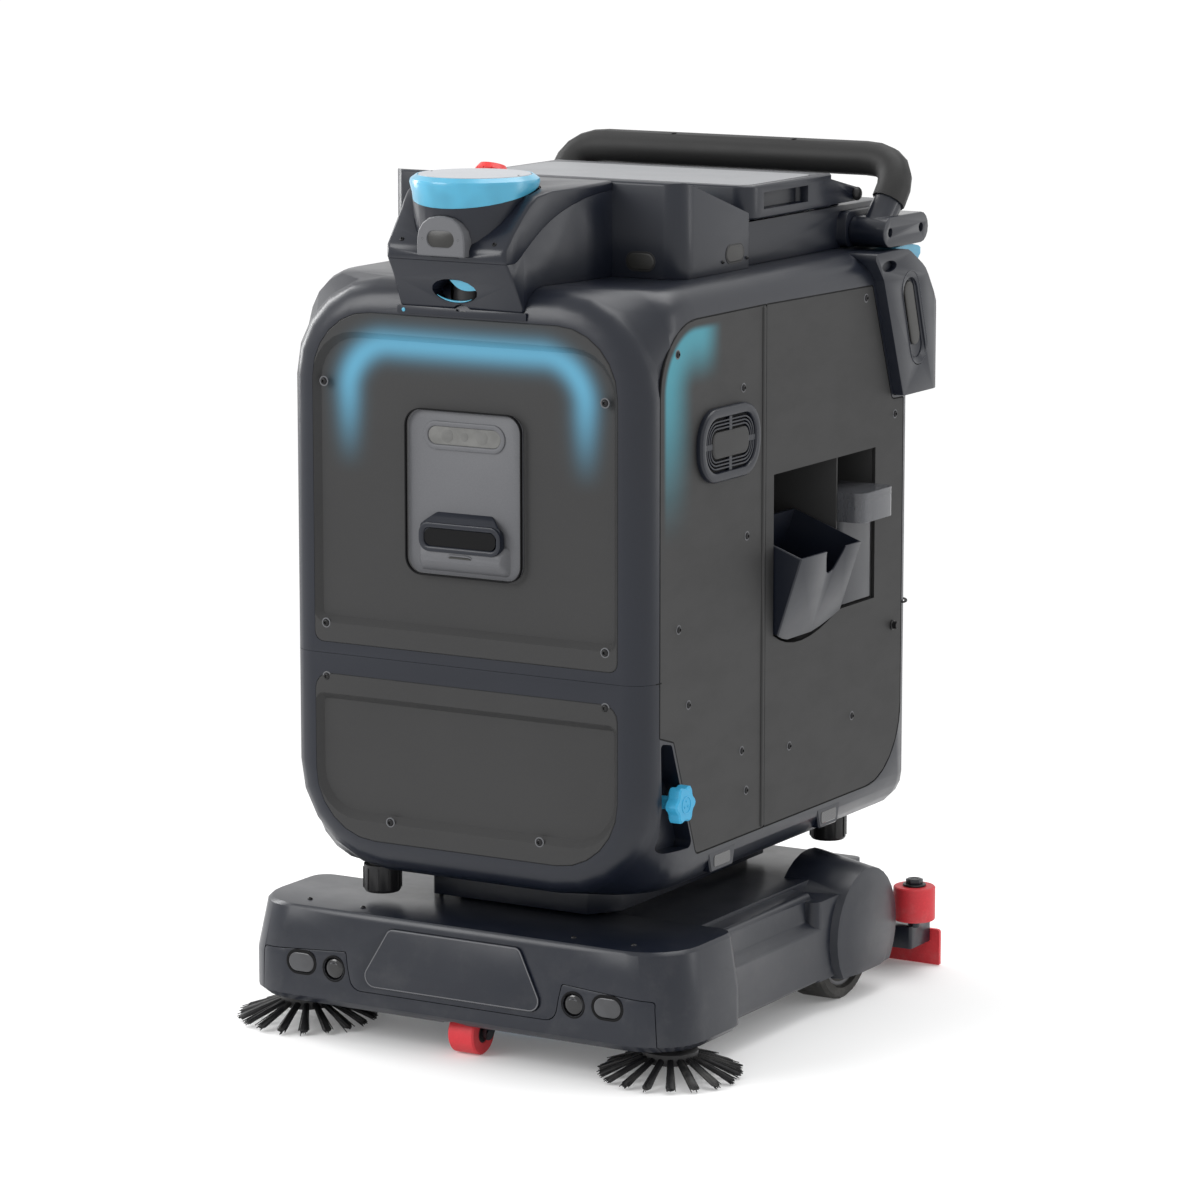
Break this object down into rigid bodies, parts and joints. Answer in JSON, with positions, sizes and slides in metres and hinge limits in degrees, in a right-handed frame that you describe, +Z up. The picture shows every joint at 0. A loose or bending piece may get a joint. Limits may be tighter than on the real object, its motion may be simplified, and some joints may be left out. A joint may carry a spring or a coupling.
{
  "type": "robotic floor cleaner",
  "caption": "Upright self-driving floor scrubber: sensor head, lidded tank, debris bin, detergent bottle and push handle on a bumpered base with brushes and squeegee.",
  "frame": {"origin": "on the floor, under the middle of the machine's bounding box", "axes": "+X to the machine's right as seen from its front, +Y towards its rear, +Z up"},
  "size_m": [0.696, 0.807, 1.0617],
  "materials": {
    "shell": "satin moulded",
    "panel": "matt fine texture",
    "grey_insert": "satin moulded",
    "dark_glass": "glossy smoked",
    "black_plastic": "matt moulded",
    "light_blue": "translucent, lit from behind",
    "pale_plastic": "satin moulded",
    "stop_red": "satin",
    "dark_metal": "blackened",
    "handle_paint": "powder coated",
    "grip_rubber": "matt, fine grain",
    "tyre_rubber": "matt, treaded",
    "red_rubber": "matt",
    "bristle": "nylon filament",
    "clear_plastic": "translucent",
    "blue_plastic": "satin"
  },
  "bodies": {
    "machine": {"upper_housing": "shell", "lower_housing": "shell", "console": "shell", "face_plate": "shell", "pod_body": "shell", "tank": "shell", "rear_pod_right": "shell", "rear_pod_left": "shell", "base_deck": "shell", "base_plate": "shell", "pedestal": "shell", "front_panel_upper": "panel", "front_panel_lower": "panel", "side_panel_front_right": "panel", "side_panel_front_left": "panel", "side_panel_rear_right": "panel", "side_panel_rear_left": "panel", "rear_door": "panel", "bay_liner": "panel", "camera_insert": "grey_insert", "pod_sensor_plate": "grey_insert", "camera_window": "dark_glass", "screen": "dark_glass", "speaker_right": "black_plastic", "speaker_left": "black_plastic", "charge_dock": "black_plastic", "battery_pack": "black_plastic", "pod_light_ring": "light_blue", "rear_light_right": "light_blue", "rear_light_left": "light_blue", "pod_cap": "pale_plastic", "solution_tank": "pale_plastic", "hinge_pin": "dark_metal", "pivot_bracket": "dark_metal"},
    "drive_wheel_right_body": {"drive_wheel_right": "tyre_rubber"},
    "drive_wheel_left_body": {"drive_wheel_left": "tyre_rubber"},
    "caster_swivel": {"caster_fork": "dark_metal"},
    "caster_roll": {"caster_wheel": "red_rubber"},
    "brush_right": {"side_brush_right": "bristle"},
    "brush_left": {"side_brush_left": "bristle"},
    "scrubber": {"scrub_brush": "bristle"},
    "squeegee": {"squeegee_frame": "shell", "squeegee_blade": "red_rubber"},
    "roller_right": {"bumper_roller_right": "red_rubber"},
    "roller_left": {"bumper_roller_left": "red_rubber"},
    "bumper": {"bumper_strip": "shell"},
    "push_handle": {"handle_frame": "handle_paint", "handle_grip": "grip_rubber"},
    "lid": {"tank_lid": "shell", "lid_inlay": "pale_plastic"},
    "emergency_stop": {"stop_button": "stop_red"},
    "lidar": {"lidar_turret": "light_blue"},
    "bin": {"debris_bin": "shell"},
    "bottle_unit": {"bottle": "clear_plastic", "bottle_lid": "clear_plastic"},
    "valve": {"valve_knob": "blue_plastic"},
    "front_cap": {"drain_cap_front": "black_plastic"},
    "rear_cap": {"drain_cap_rear": "black_plastic"}
  },
  "joints": [
    {"name": "drive_wheel_right_spin", "type": "hinge", "parent": "machine", "child": "drive_wheel_right_body", "pos_m": [0.244, 0.1135, 0.072], "axis": [1, 0, 0], "continuous": true},
    {"name": "drive_wheel_left_spin", "type": "hinge", "parent": "machine", "child": "drive_wheel_left_body", "pos_m": [-0.244, 0.1135, 0.072], "axis": [1, 0, 0], "continuous": true},
    {"name": "caster_swivel_turn", "type": "hinge", "parent": "machine", "child": "caster_swivel", "pos_m": [0, -0.3215, 0.062], "axis": [0, 0, 1], "continuous": true},
    {"name": "caster_wheel_roll", "type": "hinge", "parent": "caster_swivel", "child": "caster_roll", "pos_m": [0, -0.3435, 0.026], "axis": [1, 0, 0], "continuous": true},
    {"name": "side_brush_right_spin", "type": "hinge", "parent": "machine", "child": "brush_right", "pos_m": [0.258, -0.3115, 0.05], "axis": [0, 0, 1], "continuous": true},
    {"name": "side_brush_left_spin", "type": "hinge", "parent": "machine", "child": "brush_left", "pos_m": [-0.258, -0.3115, 0.05], "axis": [0, 0, 1], "continuous": true},
    {"name": "scrub_brush_spin", "type": "hinge", "parent": "machine", "child": "scrubber", "pos_m": [0, -0.0985, 0.06], "axis": [0, 0, 1], "continuous": true},
    {"name": "squeegee_lift", "type": "hinge", "parent": "machine", "child": "squeegee", "pos_m": [0, 0.2485, 0.096], "axis": [1, 0, 0], "range_deg": [0, 12]},
    {"name": "bumper_roller_right_spin", "type": "hinge", "parent": "squeegee", "child": "roller_right", "pos_m": [0.285, 0.2745, 0.092], "axis": [0, 0, 1], "continuous": true},
    {"name": "bumper_roller_left_spin", "type": "hinge", "parent": "squeegee", "child": "roller_left", "pos_m": [-0.285, 0.2745, 0.092], "axis": [0, 0, 1], "continuous": true},
    {"name": "bumper_press", "type": "slide", "parent": "machine", "child": "bumper", "axis": [0, 1, 0], "range_m": [0, 0.005], "stiffness_N_per_m": 2000, "springref_m": -0.001},
    {"name": "handle_fold", "type": "hinge", "parent": "machine", "child": "push_handle", "pos_m": [0, 0.2465, 0.954], "axis": [1, 0, 0], "range_deg": [0, 40]},
    {"name": "lid_open", "type": "hinge", "parent": "machine", "child": "lid", "pos_m": [0, 0.2555, 1], "axis": [1, 0, 0], "range_deg": [-75, 0]},
    {"name": "stop_press", "type": "slide", "parent": "machine", "child": "emergency_stop", "axis": [0, -0.3012, -0.9536], "range_m": [0, 0.005], "stiffness_N_per_m": 800, "springref_m": -0.001},
    {"name": "lidar_spin", "type": "hinge", "parent": "machine", "child": "lidar", "pos_m": [0, -0.3345, 0.926], "axis": [0, 0, 1], "continuous": true},
    {"name": "bin_tilt", "type": "hinge", "parent": "machine", "child": "bin", "pos_m": [0.246, 0.0425, 0.476], "axis": [0, 1, 0], "range_deg": [-18, 10]},
    {"name": "bottle_pull", "type": "slide", "parent": "machine", "child": "bottle_unit", "axis": [1, 0, 0], "range_m": [0, 0.1]},
    {"name": "valve_turn", "type": "hinge", "parent": "machine", "child": "valve", "pos_m": [0.251, -0.2915, 0.326], "axis": [1, 0, 0], "range_deg": [0, 90]},
    {"name": "drain_cap_front_turn", "type": "hinge", "parent": "machine", "child": "front_cap", "pos_m": [-0.155, -0.2985, 0.19], "axis": [0, 0, 1], "continuous": true},
    {"name": "drain_cap_rear_turn", "type": "hinge", "parent": "machine", "child": "rear_cap", "pos_m": [0.182, 0.2315, 0.19], "axis": [0, 0, 1], "continuous": true}
  ]
}
